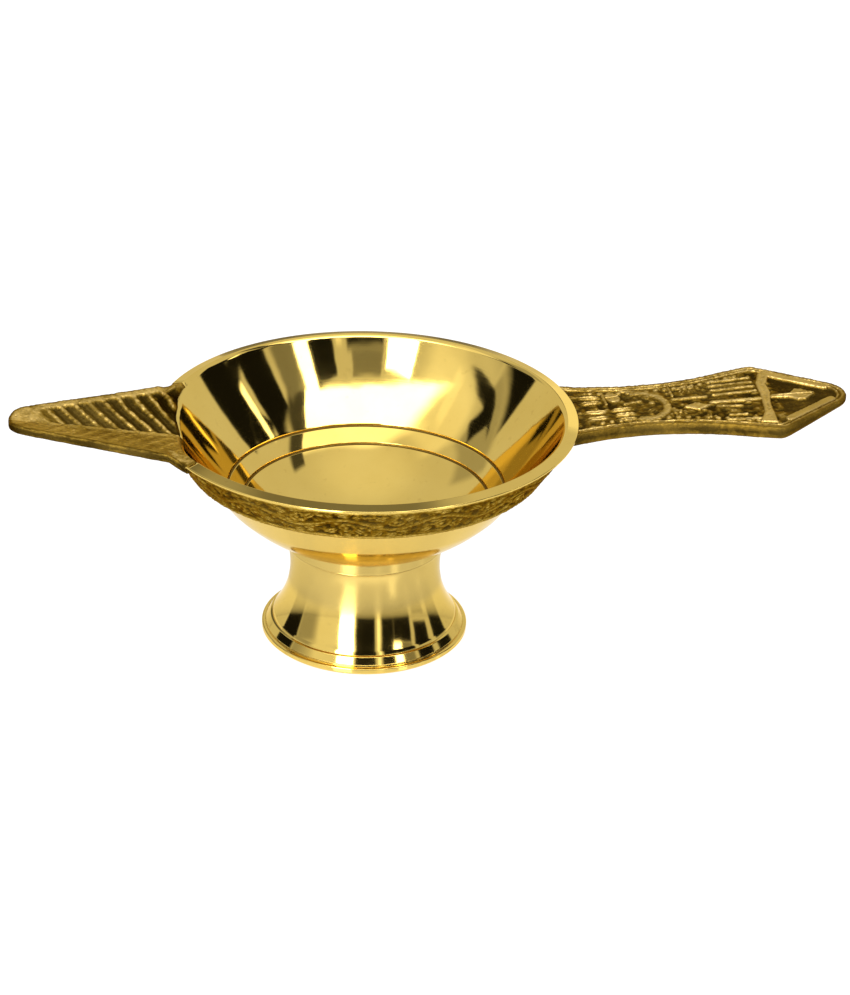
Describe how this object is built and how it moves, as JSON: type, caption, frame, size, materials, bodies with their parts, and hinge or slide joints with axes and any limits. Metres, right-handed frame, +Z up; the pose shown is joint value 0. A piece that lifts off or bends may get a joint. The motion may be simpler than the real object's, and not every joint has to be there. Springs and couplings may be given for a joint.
{
  "type": "oil lamp",
  "caption": "Hand-held brass oil lamp: round bowl with ringed floor and cast rim band, leaf spout, flat ornamental spearhead handle, hollow flared pedestal foot.",
  "frame": {"origin": "on the bowl's axis, on the plane that the foot stands on", "axes": "+Z up along the bowl's axis, +X towards the handle, -X towards the spout"},
  "size_m": [0.2005, 0.1, 0.0599],
  "materials": {
    "polished_brass": "turned and polished bright",
    "cast_brass": "as cast, with dark patina in the hollows of the relief",
    "steel": "zinc plated"
  },
  "bodies": {
    "root": {"bowl": "polished_brass", "rim_band": "cast_brass", "spout": "cast_brass", "handle": "cast_brass", "foot": "polished_brass", "foot_stud": "steel", "foot_washer": "steel", "foot_nut": "steel"}
  },
  "joints": []
}
